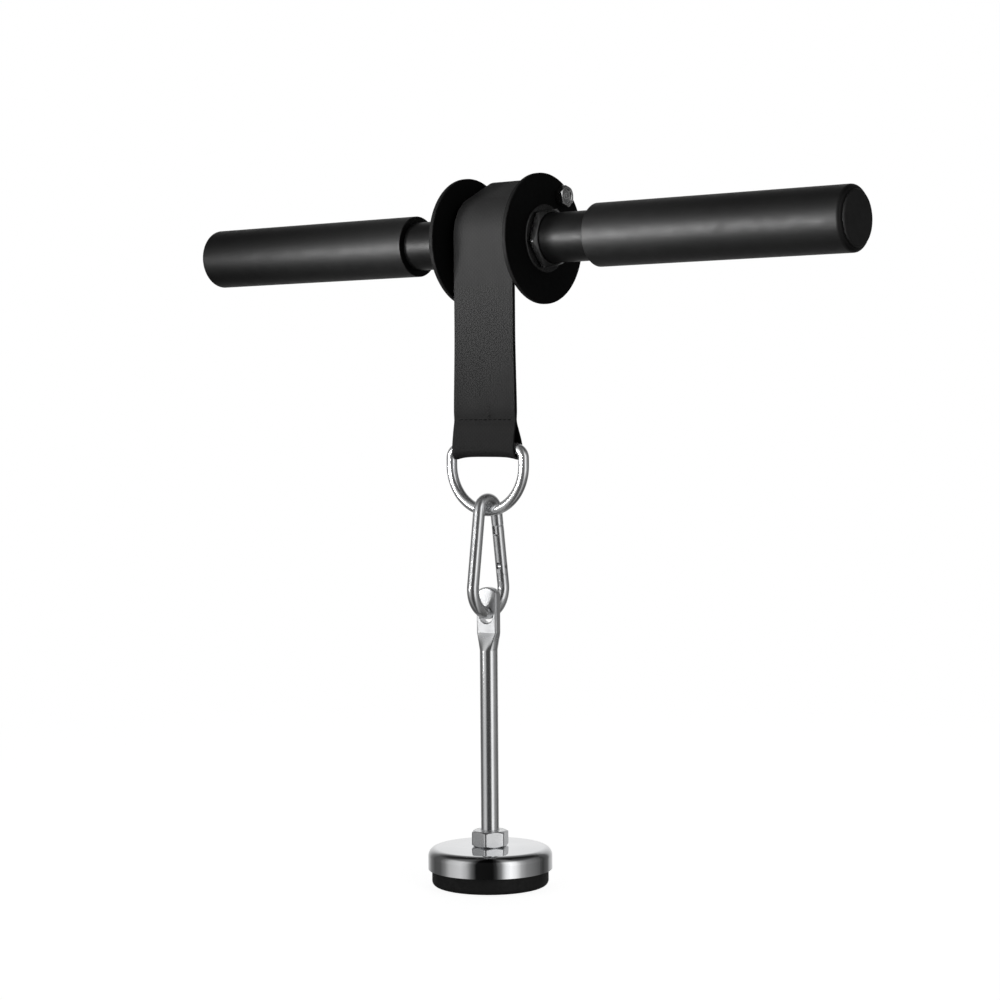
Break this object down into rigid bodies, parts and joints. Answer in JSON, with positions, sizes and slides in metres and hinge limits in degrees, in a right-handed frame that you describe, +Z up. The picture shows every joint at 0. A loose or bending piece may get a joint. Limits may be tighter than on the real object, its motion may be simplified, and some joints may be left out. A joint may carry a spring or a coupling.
{
  "type": "wrist roller",
  "caption": "Grip bar with a flanged spool and wound webbing strap, D-ring, snap hook and a footed weight-loading pin that hangs below it.",
  "frame": {"origin": "middle of the grip bar's axis, between the two spool flanges, where the bar is held", "axes": "+X along the bar to the right grip, +Z up, -Y towards the side that the strap hangs on"},
  "size_m": [0.4104, 0.0825, 0.3641],
  "materials": {
    "black_tube": "satin black powder coat",
    "grip_rubber": "smooth satin rubber",
    "cap_plastic": "satin black",
    "black_flange": "black powder coat",
    "black_hardware": "black oxide",
    "zinc_steel": "bright zinc plating",
    "webbing": "charcoal woven webbing",
    "chrome": "polished chrome plating",
    "pad_rubber": "matte moulded rubber"
  },
  "bodies": {
    "roller": {"roller_tube": "black_tube", "grip_right": "grip_rubber", "grip_left": "grip_rubber", "end_cap_right": "cap_plastic", "end_cap_left": "cap_plastic", "spool_sleeve": "black_tube", "flange_right": "black_flange", "flange_left": "black_flange", "hub_washer_right": "black_hardware", "hub_washer_left": "black_hardware", "hub_nut_right": "black_hardware", "hub_nut_left": "black_hardware", "cross_bolt": "zinc_steel", "cross_bolt_nut": "zinc_steel", "strap_roll": "webbing"},
    "strap": {"strap_hanging": "webbing"},
    "ring": {"d_ring": "chrome"},
    "hook": {"snap_hook": "chrome", "gate_pin": "chrome"},
    "gate": {"hook_gate": "chrome", "gate_spring": "zinc_steel", "gate_plunger": "zinc_steel"},
    "loading_pin": {"loading_rod": "chrome", "foot_nut": "chrome", "foot_inner_nut": "zinc_steel", "foot_cup": "chrome", "foot_pad": "pad_rubber"}
  },
  "joints": [
    {"name": "strap_swing", "type": "hinge", "parent": "roller", "child": "strap", "pos_m": [0, -0.0188, -0.022], "axis": [1, 0, 0], "range_deg": [-60, 30]},
    {"name": "ring_swing", "type": "hinge", "parent": "strap", "child": "ring", "pos_m": [0, -0.0173, -0.1067], "axis": [1, 0, 0], "range_deg": [-60, 60]},
    {"name": "hook_swing", "type": "hinge", "parent": "ring", "child": "hook", "pos_m": [0, -0.0173, -0.13855], "axis": [1, 0, 0], "range_deg": [-45, 45]},
    {"name": "gate_open", "type": "hinge", "parent": "hook", "child": "gate", "pos_m": [0, -0.00601, -0.1676], "axis": [1, 0, 0], "range_deg": [0, 22], "stiffness_Nm_per_rad": 0.05, "springref_deg": -17.19},
    {"name": "pin_swing", "type": "hinge", "parent": "hook", "child": "loading_pin", "pos_m": [0, -0.0173, -0.191], "axis": [0, 1, 0], "range_deg": [-60, 60]}
  ]
}
